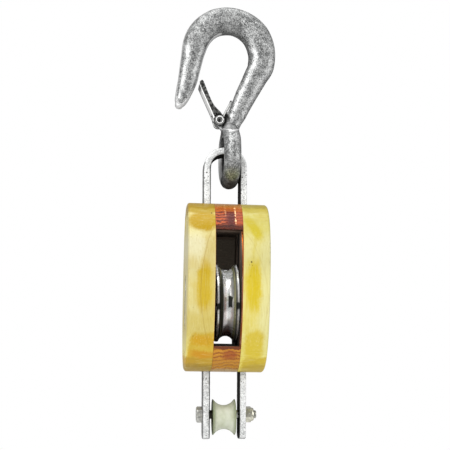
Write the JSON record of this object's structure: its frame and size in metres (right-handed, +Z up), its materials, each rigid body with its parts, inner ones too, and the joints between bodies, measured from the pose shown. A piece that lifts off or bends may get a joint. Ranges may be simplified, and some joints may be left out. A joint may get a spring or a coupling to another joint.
{
  "type": "rope pulley block with hook",
  "caption": "Wood-shell rope block with a sprung-latch reverse-eye hook, a steel inner strap, a grooved steel sheave on rollers and a nylon becket sheave.",
  "frame": {"origin": "the level spot at the top of the hook bowl, where the hook bears on its anchor; everything else hangs below it", "axes": "+X along the sheave axle towards the becket nut, +Z up, +Y through the slot away from the side the rope enters on"},
  "size_m": [0.0916, 0.1, 0.3927],
  "materials": {
    "galvanised_steel": "hot-dip galvanised forging and bar, mottled matte grey",
    "varnished_wood": "pale hardwood under glossy clear varnish, grain upright",
    "end_grain": "orange-red end grain under glossy varnish",
    "zinc_plate": "bright zinc plate",
    "dark_steel": "dark pressed sheet steel",
    "nylon": "translucent natural nylon, slightly greenish"
  },
  "bodies": {
    "hook": {"hook": "galvanised_steel", "latch_rivet": "zinc_plate", "latch_spring": "zinc_plate"},
    "latch": {"hook_latch": "dark_steel"},
    "block": {"inner_strap": "galvanised_steel", "left_cheek": "varnished_wood", "right_cheek": "varnished_wood", "upper_spacer": "end_grain", "lower_spacer": "end_grain", "upper_front_shell_rivet": "zinc_plate", "upper_rear_shell_rivet": "zinc_plate", "lower_front_shell_rivet": "zinc_plate", "lower_rear_shell_rivet": "zinc_plate", "upper_front_rivet_washer": "zinc_plate", "upper_rear_rivet_washer": "zinc_plate", "lower_front_rivet_washer": "zinc_plate", "lower_rear_rivet_washer": "zinc_plate", "centre_pin": "zinc_plate", "left_pin_plate": "galvanised_steel", "right_pin_plate": "galvanised_steel", "left_plate_upper_screw": "zinc_plate", "left_plate_lower_screw": "zinc_plate", "right_plate_upper_screw": "zinc_plate", "right_plate_lower_screw": "zinc_plate", "left_thrust_washer": "zinc_plate", "right_thrust_washer": "zinc_plate", "becket_bolt": "zinc_plate", "becket_locknut": "zinc_plate", "locknut_insert": "nylon"},
    "sheave": {"main_sheave": "zinc_plate", "bearing_sleeve": "zinc_plate"},
    "bearing_rollers": {"bearing_roller_01": "zinc_plate", "bearing_roller_02": "zinc_plate", "bearing_roller_03": "zinc_plate", "bearing_roller_04": "zinc_plate", "bearing_roller_05": "zinc_plate", "bearing_roller_06": "zinc_plate", "bearing_roller_07": "zinc_plate", "bearing_roller_08": "zinc_plate", "bearing_roller_09": "zinc_plate", "bearing_roller_10": "zinc_plate"},
    "becket_roller": {"becket_sheave": "nylon"}
  },
  "joints": [
    {"name": "latch_pivot", "type": "hinge", "parent": "hook", "child": "latch", "pos_m": [-0.0054, 0, -0.0801], "axis": [0, 1, 0], "range_deg": [0, 45], "stiffness_Nm_per_rad": 0.05, "deforming": ["latch_spring"]},
    {"name": "hook_swing", "type": "hinge", "parent": "hook", "child": "block", "pos_m": [0, 0, -0.1114], "axis": [1, 0, 0], "range_deg": [-120, 120]},
    {"name": "sheave_spin", "type": "hinge", "parent": "block", "child": "sheave", "pos_m": [0, 0, -0.2457], "axis": [1, 0, 0], "continuous": true},
    {"name": "rollers_orbit", "type": "hinge", "parent": "block", "child": "bearing_rollers", "pos_m": [0, 0, -0.2457], "axis": [1, 0, 0], "continuous": true},
    {"name": "becket_spin", "type": "hinge", "parent": "block", "child": "becket_roller", "pos_m": [0, 0, -0.3496], "axis": [1, 0, 0], "continuous": true}
  ],
  "couplings": [
    {"joint": "rollers_orbit", "follows": "sheave_spin", "ratio": 0.6412}
  ]
}
